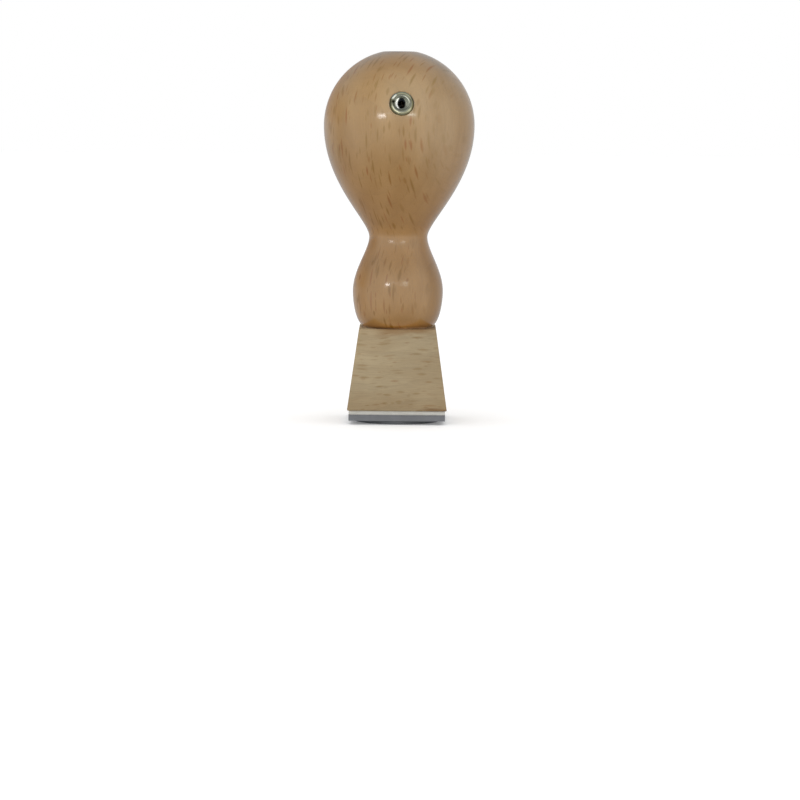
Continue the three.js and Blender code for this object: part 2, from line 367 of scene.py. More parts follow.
def beech(s, along, radial, tone, fibre, ray, length, bold):
    """Solid beech: colour, how much the grain stands up in mm, the mask of big rays, the place.

    along is the direction of the fibres and radial that from the pith outwards. tone gives the
    pale and the dark ground colour, and the two colours that the rays tend to. fibre and ray say
    how strongly those show, bold how strong the widest rays are and length how long all are.
    """
    place = place_mm(s)
    drift = s.noise(place, scale=0.07, detail=1, colour=True)
    drift = s.scaled(s.vector("SUBTRACT", drift, (0.5, 0.5, 0.5)), 2.2)
    place = s.vector("ADD", place, drift)
    along, radial = Vector(along).normalized(), Vector(radial).normalized()
    radial = (radial - along * radial.dot(along)).normalized()
    across = radial.cross(along)
    grain = s.joined(*(s.along(place, way) for way in (across, radial, along)))

    # Growth rings about a pith far behind the surface
    t, r, _ = s.parts(grain)
    out = s.math("SQRT", s.plus(s.times(t, t), s.math("POWER", s.plus(r, PITH_DEPTH), 2)))
    wobble = s.times(s.lumps(grain, (9, 9, 40)), 1.6)
    ring = s.math("FRACT", s.plus(s.math("DIVIDE", out, RING_WIDTH), wobble))
    late = s.math("POWER", ring, 4)

    mottle = s.lumps(grain, (5, 5, 16))
    fibres = s.lumps(grain, (0.22, 0.22, 5), detail=3, roughness=0.6)
    pores = s.lumps(grain, (0.09, 0.09, 0.7), detail=1)

    pale, dark, ray_brown, ray_red = tone
    colour = s.mix(s.remap(mottle, 0.3, 0.7), dark, pale)
    shade = s.plus(
        s.times(late, -0.05 * fibre),
        s.remap(fibres, 0.25, 0.75, -0.05 * fibre, 0.045 * fibre),
        s.remap(pores, 0.55, 0.8, 0, -0.06 * fibre),
    )
    colour = s.stain(1, colour, s.even(s.plus(1, shade)))

    # Rays show as dark lines where the surface crosses them, and faintly where it runs along them
    normal = s.add("ShaderNodeNewGeometry").outputs["Normal"]
    line = s.remap(s.math("ABSOLUTE", s.along(normal, across)), 0.55, 0.9, 1, 0.3)
    masks = {}
    for name, kind in RAYS.items():
        masks[name], chance = ray_cells(s, grain, kind, length)
        strength = bold if kind["strength"] is None else kind["strength"]
        seen = s.times(masks[name], s.times(strength, ray), line)
        hue = SMALL_RAY_HUE if kind["red"] is None else s.remap(chance, kind["red"], 1)
        colour = s.mix(seen, colour, s.mix(hue, ray_brown, ray_red))

    # End grain drinks more of the finish and is darker
    end = s.remap(s.math("ABSOLUTE", s.along(normal, along)), 0.5, 1)
    colour = s.stain(s.times(end, 0.5), colour, (0.86, 0.80, 0.72))
    big = masks["big"]
    height = s.plus(s.times(fibres, 0.014), s.times(pores, -0.010), s.times(big, -0.006))
    return colour, height, big, place


def lacquered_beech():
    material, s, shader = new_material(
        "lacquered_beech",
        Roughness=0.3,
        Specular_IOR_Level=0.3,
        Coat_Weight=1,
        Coat_Roughness=0.13,
        Coat_IOR=1.6,
    )
    tone = (
        (0.382, 0.214, 0.072),
        (0.339, 0.181, 0.052),
        (0.245, 0.119, 0.009),
        (0.275, 0.097, 0.009),
    )
    pith = math.radians(28)
    _, _, up = s.parts(place_mm(s))
    bold = s.remap(up, 40, 62, 1, 0.65, smooth=False)
    colour, _, _, place = beech(
        s, (0.02, 0.03, 1), (math.sin(pith), math.cos(pith), 0), tone, 1, 1, 1, bold
    )
    x, y, up = s.parts(place)

    # Painted light: the wood is paler and bluer towards the crown, a painted sheen of the light
    # above, and darker on the upper bulb, a painted shadow of the knob
    crown_sheen_tint = s.mix(s.remap(up, 46, 76), (0.98, 0.91, 0.80), (1.05, 1.09, 1.12))
    colour = s.stain(1, colour, crown_sheen_tint)
    bulb_shade_tint = s.mix(s.remap(up, 27, 33), (0.985, 0.99, 0.96), (0.90, 0.90, 0.86))
    bulb_shade_tint = s.mix(s.remap(up, 37, 43), bulb_shade_tint, (1.02, 1.02, 1.01))
    colour = s.stain(1, colour, bulb_shade_tint)

    # Painted light makes the lower bulb paler on its left, the waist has a band of painted light
    # above one of painted shade, and the knob has a dark streak
    side = s.times(s.remap(x, -5.5, -8.5), s.remap(up, 38, 34))
    colour = s.stain(side, colour, (1.10, 1.11, 1.11))
    for middle, reach, tint in ((45.1, 2, (1.10, 1.11, 1.12)), (42.3, 1.7, (0.94, 0.95, 0.97))):
        colour = s.stain(s.remap(s.off(up, middle), 0, reach, 1, 0), colour, tint)
    streak = s.times(s.remap(s.off(x, -10.7), 0.5, 4, 1, 0), s.remap(y, -6, -9))
    streak = s.times(streak, s.remap(s.off(up, 65.5), 3, 9, 1, 0))
    colour = s.stain(streak, colour, (0.93, 0.905, 0.87))

    # Painted shade darkens the knob's left rim and the bulb's right side, and a painted cool light
    # greys and blues the knob's right
    edge = s.times(s.remap(x, -12, -15.5), s.remap(up, 50, 56), s.remap(up, 64, 69, 1, 0))
    edge = s.math("MAXIMUM", edge, s.times(s.remap(x, 6, 9), s.remap(up, 40, 36)))
    colour = s.stain(edge, colour, (0.92, 0.93, 0.92))
    grey = s.times(s.remap(x, 1, 9), s.remap(up, 48, 62))
    colour = s.stain(grey, colour, (1.0, 1.08, 1.42))

    # Painted warm light brightens the foot above the joint, and painted light turns the crevice at
    # the joint pale orange to lift its shade
    colour = s.stain(s.remap(up, JOINT + 0.6, JOINT + 2.6, 1, 0), colour, (1.21, 1.14, 1.10))
    colour = s.mix(s.remap(up, JOINT + 0.1, JOINT + 0.6, 1, 0), colour, (0.72, 0.46, 0.22))

    # Painted light turns the eyelet's seat pale orange, most of all below, to lift the shade in
    # that recess
    over, above, out = eyelet_place(s)
    rim = FLANGE_RADIUS + SEAT_FIT
    seat = s.remap(s.vector("LENGTH", s.joined(over, above, 0)), rim, rim + 0.02, 1, 0)
    seat = s.times(seat, s.remap(out, -0.5, -0.3), s.remap(above, -0.2, 1.2, 1, 0.3))
    colour = s.mix(seat, colour, (0.62, 0.43, 0.21))

    # A pale painted sheen on the front of the knob, above the eyelet, stands for a soft reflection
    # of the light above
    painted_sheen = s.remap(s.distance(place, (1, -16, 78)), 1, 9, 0.075, 0)
    colour = s.mix(painted_sheen, colour, (0.85, 0.95, 0.85))
    s.put(colour, shader.inputs["Base Color"])

    # The coat has faint rings from the lathe, lies unevenly and is worn at the waist
    turning = s.noise(s.joined(0, 0, up), scale=2.6)
    worn_part = s.times(s.remap(x, -1.4, 0.2), s.remap(up, 45, 50, 0.012, 0))
    neck = s.remap(s.off(up, 42), 2, 3.5, 0.016, 0)
    coat = s.plus(
        s.times(turning, 0.004),
        s.times(s.noise(place, scale=0.6), 0.012),
        s.times(s.noise(place, scale=6, detail=1), s.math("MAXIMUM", worn_part, neck)),
    )
    s.put(s.bump(coat, MM), shader.inputs["Coat Normal"])
    return material


def raw_beech():
    material, s, shader = new_material("raw_beech", Specular_IOR_Level=0.25)
    tone = (
        (0.412, 0.325, 0.203),
        (0.370, 0.282, 0.169),
        (0.240, 0.155, 0.060),
        (0.266, 0.145, 0.058),
    )
    pith = math.radians(12)
    colour, height, big, place = beech(
        s, (1, 0.02, 0.03), (0, math.cos(pith), math.sin(pith)), tone, 1.5, 0.54, 0.72, 0.45
    )
    x, y, z = s.parts(place)

    # Darker towards the lower edge and in one patch low on the front, and one brown mark at its
    # right end
    cloud = s.lumps(place, (7, 7, 3), detail=3)
    lower_darkening = s.times(
        s.remap(z, BLOCK_BASE, BLOCK_BASE + 7, 1, 0), s.remap(cloud, 0.3, 0.75, 0.35, 0.9)
    )
    front_low_darkening = s.remap(s.distance(place, (-4, -11.5, BLOCK_BASE)), 1, 5, 0.4, 0)
    colour = s.stain(s.plus(lower_darkening, front_low_darkening), colour, (0.83, 0.77, 0.70))
    ragged = s.plus(z, s.times(s.lumps(place, (3, 3, 0.6), detail=3), 0.9))
    mark = s.remap(ragged, BLOCK_BASE + 0.65, BLOCK_BASE + 1.3, 1, 0)
    mark = s.times(mark, s.remap(x, 5.2, 8.5), s.remap(y, -10, -11))
    colour = s.stain(s.times(mark, 0.75), colour, (0.55, 0.40, 0.28))

    # Painted shade darkens the upper edge under the handle, a painted shadow of the bulb warmed by
    # painted light thrown off it
    ragged = s.plus(z, s.times(s.lumps(place, (4, 4, 1)), 2))
    run = s.remap(ragged, JOINT - 0.9, JOINT + 0.9)
    run = s.times(run, s.remap(s.off(x, 1.6), 3.5, 8.5, 1, 0.15))
    colour = s.stain(run, colour, (0.72, 0.57, 0.44))

    # Painted light: a pale ring round the foot lifts the shade in the crevice at the joint
    crevice_light = s.remap(s.vector("LENGTH", s.joined(x, y, 0)), 7.8, 8.3, 1, 0)
    crevice_light = s.times(crevice_light, s.remap(z, JOINT - 0.15, JOINT - 0.05))
    colour = s.mix(crevice_light, colour, (0.80, 0.62, 0.42))

    # The wood pales upwards on the left and darkens upwards on the right
    left = s.mix(s.remap(z, 7, 20), (1.03, 1.04, 1.04), (1.12, 1.12, 1.11))
    right = s.mix(s.remap(z, 7, 20), (1.04, 1.04, 1.03), (0.96, 0.96, 0.95))
    colour = s.stain(1, colour, s.mix(s.remap(x, -11, 9), left, right))
    s.put(colour, shader.inputs["Base Color"])

    s.put(s.remap(big, 0, 1, 0.72, 0.6, smooth=False), shader.inputs["Roughness"])
    saw = s.lumps(place, (0.35, 0.35, 30))
    s.put(s.bump(s.plus(height, s.times(saw, 0.012)), MM), shader.inputs["Normal"])
    return material


# Metal

def nickel():
    material, s, shader = new_material("nickel_plate", Metallic=1, Specular_IOR_Level=0.5)
    place = place_mm(s)
    over, up, out = eyelet_place(s)
    reach = s.math("SQRT", s.plus(s.times(over, over), s.times(up, up)))
    tarnish = s.noise(place, scale=0.9, detail=3)
    colour = s.mix(s.remap(tarnish, 0.35, 0.7), (0.215, 0.220, 0.182), (0.190, 0.195, 0.160))

    # Painted reflections brighten the plate towards the edge above and below, and painted shade
    # darkens it about the mouth
    outer = s.remap(s.math("ABSOLUTE", up), 0.6, 1.6, 0.6, 1.75)
    outer = s.even(s.plus(outer, s.remap(up, 0.5, 1.6, 0, 0.7)))
    outer = s.mix(s.remap(over, -1.7, -0.7), (1, 1, 1), outer)
    outer = s.stain(1, outer, (1.05, 0.97, 0.80))
    mouth_shade_level = 0.62
    low = s.minus(s.remap(over, -0.9, 0.3, 0.55, 0.75), mouth_shade_level)
    inner = s.even(s.plus(s.times(s.remap(up, -0.6, 1, 1, 0), low), mouth_shade_level))
    rise = s.plus(reach, s.remap(up, -0.5, 1, 0, 0.15))
    colour = s.stain(1, colour, s.mix(s.remap(rise, 2.2, 2.45), inner, outer))

    # Tarnish browns the outer edge, and a painted dark reflection of the wood darkens it most at
    # its sides
    sides = s.math("DIVIDE", s.math("ABSOLUTE", over), reach)
    edge = s.times(s.remap(reach, 2.3, 2.65), s.remap(sides, 0.6, 0.97, 0.1, 1))
    colour = s.mix(edge, colour, (0.105, 0.095, 0.045))

    # The flare is painted bright below, a painted highlight makes its left side white, and painted
    # shade blackens the mouth and the barrel inside
    inside = s.remap(reach, MOUTH_RADIUS - 0.02, MOUTH_RADIUS + 0.12, 1, 0)
    flare_painted_light = s.mix(s.remap(up, -0.6, 0.6), (0.60, 0.61, 0.52), (0.20, 0.21, 0.18))
    colour = s.mix(inside, colour, flare_painted_light)
    left = s.times(s.remap(reach, 1.38, 1.52, 1, 0), s.remap(over, -0.45, -0.75))
    colour = s.mix(left, colour, (0.95, 0.95, 0.92))
    seen = s.plus(up, s.times(s.minus(out, MOUTH_HEIGHT), 0.2))
    hole_shade_oval = s.joined(s.math("DIVIDE", s.plus(over, 0.04), 0.9), s.math("DIVIDE", seen, 1.28), 0)
    hole_shade_oval = s.vector("LENGTH", hole_shade_oval)
    colour = s.mix(s.remap(hole_shade_oval, 0.9, 1.1, 1, 0), colour, (0.010, 0.012, 0.016))
    colour = s.mix(s.remap(out, -0.18, -0.4), colour, (0.004, 0.006, 0.014))
    # The painted highlight at the flare's left is not metallic, so that the lamps light it white
    left = s.times(left, s.remap(hole_shade_oval, 0.9, 1.1, 0, 0.75))
    s.put(s.minus(1, left), shader.inputs["Metallic"])

    # A painted dark reflection breaks the crest's highlight at its left, darkest in one spot
    gap = s.times(s.remap(s.off(up, -0.1), 0.4, 0.9, 0.65, 0), s.remap(over, -1.45, -1.7))
    colour = s.mix(gap, colour, (0.05, 0.05, 0.035))
    dark_reflection_spot = s.vector("LENGTH", s.joined(s.plus(over, 1.93), s.minus(up, 0.32), 0))
    colour = s.mix(s.remap(dark_reflection_spot, 0.2, 0.5, 1, 0), colour, (0.01, 0.009, 0.006))

    # A painted highlight brightens the crest at its upper left
    painted_highlight_arc = s.times(s.remap(s.off(up, 1.6), 0.35, 0.8, 1, 0), s.remap(over, -1.0, -1.4))
    painted_highlight_arc = s.times(painted_highlight_arc, s.remap(reach, 2.0, 2.2), s.remap(reach, 2.5, 2.65, 1, 0))
    colour = s.mix(painted_highlight_arc, colour, (0.95, 0.94, 0.85))
    s.put(colour, shader.inputs["Base Color"])

    scuffs = s.lumps(place, (0.5, 0.08, 0.5), detail=3)
    dull = s.times(inside, s.remap(up, 0.9, 0.1, 0, 0.42))
    dull = s.math("MAXIMUM", dull, s.remap(scuffs, 0.35, 0.75, 0.18, 0.26))
    s.put(dull, shader.inputs["Roughness"])
    dents = s.noise(place, scale=1.6, detail=1)
    s.put(s.bump(s.times(dents, 0.01), MM), shader.inputs["Normal"])
    return material


def zinc():
    material, s, shader = new_material("zinc_plated_steel", Metallic=1)
    place = place_mm(s)
    bloom = s.remap(s.noise(place, scale=0.8, detail=4), 0.3, 0.7)
    colour = s.mix(bloom, (0.50, 0.52, 0.54), (0.44, 0.45, 0.45))
    s.put(colour, shader.inputs["Base Color"])
    s.put(s.remap(bloom, 0, 1, 0.26, 0.42, smooth=False), shader.inputs["Roughness"])
    s.put(s.bump(s.times(s.noise(place, scale=6), 0.01), MM), shader.inputs["Normal"])
    return material


# Foam and rubber

def white_foam():
    material, s, shader = new_material("white_foam", Specular_IOR_Level=0.2)
    place = place_mm(s)
    pit = s.remap(s.cells(place, 6.5)["Distance"], 0.1, 0.6, 1, 0)
    smudge = s.noise(place, scale=0.35, detail=3)
    colour = s.mix(s.remap(smudge, 0.35, 0.75), (0.72, 0.71, 0.66), (0.66, 0.645, 0.59))
    colour = s.mix(s.times(pit, 0.3), colour, (0.55, 0.53, 0.48))
    s.put(colour, shader.inputs["Base Color"])
    s.put(s.remap(pit, 0, 1, 0.8, 0.97, smooth=False), shader.inputs["Roughness"])
    s.put(s.bump(s.times(pit, -0.05), MM), shader.inputs["Normal"])
    return material


TRACK_PITCH = 0.12


def grey_rubber():
    material, s, shader = new_material("grey_rubber", Specular_IOR_Level=0.35)
    place = place_mm(s)
    _, y, z = s.parts(place)
    cut_away = s.remap(z, 0.02, 0.12)
    dust = s.noise(place, scale=0.5, detail=3)
    colour = s.mix(s.remap(dust, 0.3, 0.7), (0.215, 0.222, 0.237), (0.192, 0.198, 0.212))
    speck = s.remap(s.noise(place, scale=5), 0.62, 0.75)
    colour = s.mix(s.times(speck, 0.35), colour, (0.29, 0.295, 0.305))
    colour = s.mix(s.times(cut_away, 0.3), colour, (0.17, 0.174, 0.184))
    s.put(colour, shader.inputs["Base Color"])
    s.put(s.remap(cut_away, 0, 1, 0.52, 0.82, smooth=False), shader.inputs["Roughness"])

    # The beam leaves fine parallel tracks wherever it has cut
    track = s.math("SINE", s.times(y, 2 * math.pi / TRACK_PITCH))
    height = s.plus(s.times(track, 0.006), s.times(s.noise(place, scale=7), 0.03))
    height = s.times(height, s.plus(cut_away, 0.15))
    s.put(s.bump(height, MM), shader.inputs["Normal"])
    return material


# Meshes

# Points round a turned piece, largest gap that is closed in mm, and the sharpest smooth edges
HANDLE_STEPS = 288
EYELET_STEPS = 128
SEAM = 1e-5
SMOOTH_WOOD = 35
SMOOTH_METAL = 50
SMOOTH_FOAM = 60
SMOOTH_RUBBER = 28


def shade(bm, corner):
    """Smooth faces, with the edges of a larger angle than the corner's, in degrees, left sharp."""
    limit = math.radians(corner)
    for face in bm.faces:
        face.smooth = True
    for edge in bm.edges:
        edge.smooth = edge.calc_face_angle(0) < limit


def finish_mesh(bm, name, material, corner=SMOOTH_WOOD, place=None):
    """Object at the origin from a bmesh in millimetres, smooth apart from its corners."""
    bmesh.ops.remove_doubles(bm, verts=bm.verts, dist=SEAM)
    bmesh.ops.recalc_face_normals(bm, faces=bm.faces)
    shade(bm, corner)
    bm.transform(Matrix.Scale(MM, 4) @ (place or Matrix()))
    mesh = bpy.data.meshes.new(name)
    bm.to_mesh(mesh)
    bm.free()
    mesh.materials.append(material)
    return linked(name, mesh)


def combine(made, tool_bm, place, operation, corner, use_self=False):
    """Cuts a bmesh in millimetres out of an object or joins it to it, and applies that."""
    bmesh.ops.recalc_face_normals(tool_bm, faces=tool_bm.faces)
    tool_bm.transform(Matrix.Scale(MM, 4) @ place)
    mesh = bpy.data.meshes.new("tool")
    tool_bm.to_mesh(mesh)
    tool_bm.free()
    tool = linked("tool", mesh)
    modifier = made.modifiers.new("combine", "BOOLEAN")
    modifier.operation = operation
    modifier.solver = "EXACT"
    modifier.use_self = use_self
    modifier.object = tool
    graph = bpy.context.evaluated_depsgraph_get()
    result = bpy.data.meshes.new_from_object(made.evaluated_get(graph))
    made.modifiers.clear()
    made.data = result
    bpy.data.objects.remove(tool)
    bm = bmesh.new()
    bm.from_mesh(result)
    shade(bm, corner)
    bm.to_mesh(result)
    bm.free()


def add_rings(bm, rings, closed=False):
    """Skin over rings of equal counts. A ring of one point closes the skin to a tip."""
    rows = [[bm.verts.new(p) for p in ring] for ring in rings]
    if closed:
        rows.append(rows[0])
    for low, high in zip(rows, rows[1:]):
        count = max(len(low), len(high))
        for i in range(count):
            j = (i + 1) % count
            low_side = low[i % len(low)], low[j % len(low)]
            high_side = high[j % len(high)], high[i % len(high)]
            face = list(dict.fromkeys(low_side + high_side))
            if len(face) > 2:
                bm.faces.new(face)


def circle(radius, height, count):
    """Ring of points about the Z axis, or a single one where it has no radius."""
    if radius < 1e-6:
        return [(0, 0, height)]
    angles = [2 * math.pi * i / count for i in range(count)]
    return [(radius * math.cos(a), radius * math.sin(a), height) for a in angles]


def turned(profile, count):
    bm = bmesh.new()
    add_rings(bm, [circle(r, z, count) for r, z in profile])
    return bm


def bezier(points, count):
    a, b, c, d = [Vector(p) for p in points]
    run = []
    for i in range(1, count + 1):
        t = i / count
        u = 1 - t
        run.append(tuple(a * u**3 + b * (3 * t * u * u) + c * (3 * t * t * u) + d * t**3))
    return run


def arc(centre, radii, start, end, count):
    """Points of an ellipse's arc in degrees, the first one left out."""
    run = []
    for i in range(1, count + 1):
        a = math.radians(start + (end - start) * i / count)
        run.append((centre[0] + radii[0] * math.cos(a), centre[1] + radii[1] * math.sin(a)))
    return run


def between(a, b, count):
    """Points on a straight line, the first one left out."""
    return [
        (a[0] + (b[0] - a[0]) * i / count, a[1] + (b[1] - a[1]) * i / count)
        for i in range(1, count + 1)
    ]


def handle_profile():
    below, above = BULB_HEIGHT, WAIST_HEIGHT - BULB_HEIGHT
    flank = KNOB_HEIGHT - WAIST_HEIGHT
    bore_top = SCREW_IN_HANDLE + 1
    run = [(0, bore_top + BORE_CONE), (BORE_RADIUS, bore_top)]
    run += between(run[-1], (BORE_RADIUS, BORE_MOUTH - BORE_RADIUS), 12)
    run += between(run[-1], (BORE_MOUTH, 0), 3)
    run += between(run[-1], (FOOT_RADIUS, 0), 8)
    run += bezier(
        (
            (FOOT_RADIUS, 0),
            (FOOT_RADIUS + FOOT_ROLL_OUT * (BULB_RADIUS - FOOT_RADIUS), 0),
            (BULB_RADIUS, BULB_HEIGHT - BULB_FULLNESS_BELOW * below),
            (BULB_RADIUS, BULB_HEIGHT),
        ),
        40,
    )
    run += bezier(
        (
            (BULB_RADIUS, BULB_HEIGHT),
            (BULB_RADIUS, BULB_HEIGHT + BULB_FULLNESS_ABOVE * above),
            (WAIST_RADIUS, WAIST_HEIGHT - WAIST_FULLNESS_BELOW * above),
            (WAIST_RADIUS, WAIST_HEIGHT),
        ),
        56,
    )
    run += bezier(
        (
            (WAIST_RADIUS, WAIST_HEIGHT),
            (WAIST_RADIUS, WAIST_HEIGHT + WAIST_FULLNESS_ABOVE * flank),
            (KNOB_RADIUS, KNOB_HEIGHT - KNOB_FULLNESS * flank),
            (KNOB_RADIUS, KNOB_HEIGHT),
        ),
        84,
    )

    # The crown's flat meets the sphere in a small round
    edge = math.degrees(math.acos(CROWN_FLAT_RADIUS / KNOB_RADIUS))
    run += arc((0, KNOB_HEIGHT), (KNOB_RADIUS, KNOB_RADIUS), 0, edge - 1.6, 72)
    last = run[-1]
    run += bezier(
        (
            last,
            (CROWN_FLAT_RADIUS + 0.1, HANDLE_HEIGHT - 0.02),
            (CROWN_FLAT_RADIUS - 0.1, HANDLE_HEIGHT),
            (CROWN_FLAT_RADIUS - 0.5, HANDLE_HEIGHT),
        ),
        8,
    )
    run += between(run[-1], (0, HANDLE_HEIGHT), 10)
    return run


def make_handle(material):
    made = finish_mesh(
        turned(handle_profile(), HANDLE_STEPS), "turned_handle_wood", material, place=HANDLE_PLACE
    )

    # The eyelet's counterbore, and its bore with a mouth that is countersunk to suit the flare
    seat = FLANGE_RADIUS + SEAT_FIT
    bore = THROAT_RADIUS + SHEET + BARREL_FIT
    wide = THROAT_RADIUS - (SEAT_GAP + THROAT_HEIGHT) * math.tan(FLARE)
    wide += SHEET / math.cos(FLARE) + BARREL_FIT
    bottom = -EYELET_LENGTH - SHEET
    outside = SEAT_DEPTH + FLANGE_RISE
    profile = [(0, bottom), (bore, bottom)]
    profile += between(profile[-1], (bore, (bore - wide) / math.tan(FLARE)), 6)
    profile += [(wide, 0), (seat, 0), (seat, outside), (0, outside)]
    combine(made, turned(profile, EYELET_STEPS), MARKER_PLACE, "DIFFERENCE", SMOOTH_WOOD)
    return made


def make_eyelet(material):
    """Drawn eyelet: a steep outer edge, a domed crest, a flared mouth and the barrel."""
    mouth, throat, end = MOUTH_HEIGHT, THROAT_HEIGHT, -EYELET_LENGTH
    outside = THROAT_RADIUS + SHEET
    lip = SHEET / 2
    slope = Vector((math.sin(FLARE), math.cos(FLARE)))
    bend = 0.08

    # The side that shows, from the flange's edge over the crest and down the barrel
    run = [(FLANGE_RADIUS, 0)]
    run += arc((CREST_RADIUS, 0), (FLANGE_RADIUS - CREST_RADIUS, FLANGE_RISE), 0, 90, 24)
    turn = MOUTH_DROP * math.tan(FLARE)
    shoulder = CREST_RADIUS - (MOUTH_RADIUS + turn)
    run += bezier(
        (
            run[-1],
            (CREST_RADIUS - 0.7 * shoulder, FLANGE_RISE),
            (MOUTH_RADIUS + 0.7 * turn, mouth + 0.7 * MOUTH_DROP),
            (MOUTH_RADIUS, mouth),
        ),
        20,
    )
    corner = (THROAT_RADIUS, throat)
    run += between(run[-1], (THROAT_RADIUS + bend * slope.x, throat + bend * slope.y), 10)
    run += bezier((run[-1], corner, corner, (THROAT_RADIUS, throat - bend)), 6)
    run += between(run[-1], (THROAT_RADIUS, end + lip), 24)
    run += arc((outside - lip, end + lip), (lip, lip), 180, 360, 8)

    # The side in the wood, one sheet's thickness behind it
    behind = (MOUTH_RADIUS + SHEET * slope.y, mouth - SHEET * slope.x)
    run += between(run[-1], (outside, throat - SHEET * math.tan(FLARE / 2)), 24)
    run += between(run[-1], behind, 6)
    run += bezier(
        (
            run[-1],
            (behind[0] + 0.08, behind[1] + 0.1),
            (CREST_RADIUS - 0.05, FLANGE_RISE - SHEET),
            (CREST_RADIUS, FLANGE_RISE - SHEET),
        ),
        6,
    )
    radii = (FLANGE_RADIUS - SHEET - CREST_RADIUS, FLANGE_RISE - SHEET)
    run += arc((CREST_RADIUS, 0), radii, 90, 0, 12)
    bm = bmesh.new()
    add_rings(bm, [circle(r, z, EYELET_STEPS) for r, z in run], closed=True)
    place = MARKER_PLACE @ Matrix.Translation((0, 0, SEAT_GAP))
    return finish_mesh(bm, "eyelet_flange_and_barrel", material, SMOOTH_METAL, place)


def square(half, height, per_side=64, per_corner=6):
    """Ring of a square with round corners, anticlockwise, as close together at the corners."""
    inner = half - CORNER_RADIUS
    ring = []
    for quarter in range(4):
        turn = Matrix.Rotation(quarter * math.pi / 2, 3, "Z")
        for i in range(per_side):
            ring.append(turn @ Vector((half, -inner + 2 * inner * i / per_side, height)))
        for i in range(per_corner):
            a = math.pi / 2 * i / per_corner
            x, y = inner + CORNER_RADIUS * math.cos(a), inner + CORNER_RADIUS * math.sin(a)
            ring.append(turn @ Vector((x, y, height)))
    return ring


def shrunk(ring, share, height):
    """Ring drawn in to a share of its size, at this height."""
    return [Vector((p[0] * share, p[1] * share, height)) for p in ring]


def towards_circle(ring, radius, share, height):
    """Ring part of the way from a square to a circle about the Z axis."""
    made = []
    for p in ring:
        flat = Vector((p[0], p[1], 0))
        point = flat.lerp(flat.normalized() * radius, share)
        made.append(Vector((point.x, point.y, height)))
    return made


def worn(ring, level, amount, scale, shift):
    """Draws a ring in towards its middle by a noise of up to that amount."""
    made = []
    for p in ring:
        place = Vector((p.x * scale + shift, p.y * scale, p.z * scale * 0.6 + 3.1 * shift))
        coarse = noise.noise(place)
        fine = noise.noise(Vector((p.x * 3.1, p.y * 3.1 + shift, level)))
        pull = amount * (0.5 + 0.5 * coarse + 0.25 * fine)
        made.append(p - Vector((p.x, p.y, 0)).normalized() * max(0, pull))
    return made


def make_block(material):
    """Tapered block with worn edges, and the screw's bore in its top."""
    edge_steps, side_steps = 4, 44

    def side(height, draw, level, amount, scale, shift):
        half = BLOCK_HALF - BLOCK_SLOPE * height - draw
        return worn(square(half, height), level, amount, scale, shift)

    base = square(BLOCK_HALF - EDGE_BREAK, 0)
    rings = [[(0, 0, 0)]]
    rings += [shrunk(base, share, 0) for share in (0.12, 0.3, 0.5, 0.7, 0.86, 0.96)]
    rings.append(base)
    for i in range(1, edge_steps + 1):
        a = math.pi / 2 * i / edge_steps
        rise, draw = EDGE_BREAK * (1 - math.cos(a)), EDGE_BREAK * (1 - math.sin(a))
        rings.append(side(rise, draw, 0, 0.05, 0.8, 1))
    for i in range(1, side_steps):
        rise = EDGE_BREAK + (BLOCK_HEIGHT - 2 * EDGE_BREAK) * i / side_steps
        rings.append(side(rise, 0, 0.3, 0.03, 0.25, 2))
    for i in range(edge_steps + 1):
        a = math.pi / 2 * i / edge_steps
        rise, draw = EDGE_BREAK * (1 - math.sin(a)), EDGE_BREAK * (1 - math.cos(a))
        rings.append(side(BLOCK_HEIGHT - rise, draw, 0.7, 0.05, 0.8, 3))
    top = rings[-1]
    for share in (0.05, 0.15, 0.3, 0.45, 0.6, 0.75, 0.9, 1):
        rings.append(towards_circle(top, BORE_MOUTH, share, BLOCK_HEIGHT))
    depth = SCREW_IN_BLOCK + 1
    for below in (BORE_MOUTH - BORE_RADIUS, depth / 2, depth):
        rings.append(towards_circle(top, BORE_RADIUS, 1, BLOCK_HEIGHT - below))
    rings.append([(0, 0, BLOCK_HEIGHT - depth - BORE_CONE)])
    bm = bmesh.new()
    add_rings(bm, rings)
    place = Matrix.Translation((0, 0, BLOCK_BASE))
    return finish_mesh(bm, "mount_block_wood", material, place=place)


def make_foam(material):
    """Foam layer: flat where it is stuck, with a hand-cut edge that bellies out and in."""
    low, high = BLOCK_BASE - FOAM_THICKNESS, BLOCK_BASE
    levels, belly_depth, side_points = 10, 0.13, 150
    edge = []
    for i in range(levels + 1):
        share = i / levels
        belly = belly_depth * (1 - math.sin(math.pi * share) ** 0.7)
        ring = square(PAD_HALF - belly, low + FOAM_THICKNESS * share, side_points)
        edge.append(worn(ring, share * 4.0, 0.1, 0.9, 5))
    shares = (0.3, 0.6, 0.85, 0.97)
    rings = [[(0, 0, low)]]
    rings += [shrunk(edge[0], share, low) for share in shares]
    rings += edge
    rings += [shrunk(edge[-1], share, high) for share in shares[::-1]]
    rings.append([(0, 0, high)])
    bm = bmesh.new()
    add_rings(bm, rings)
    return finish_mesh(bm, "foam_layer_soft", material, SMOOTH_FOAM)


# Die

def ring_points(radius, count):
    return [Vector(p).to_2d() for p in circle(radius, 0, count)]


def petal_points(count):
    """Outline of what two equal discs share, each edge an arc of a sixth of a turn."""
    length = PETAL_OUTER - PETAL_INNER
    middle = PETAL_INNER + length / 2
    rise = length * math.cos(math.pi / 6)
    run = []
    for side in (1, -1):
        start = math.radians(-120 if side == 1 else 60)
        for i in range(count):
            a = start + math.pi / 3 * i / count
            run.append(Vector((middle + length * math.cos(a), side * rise + length * math.sin(a))))
    return run


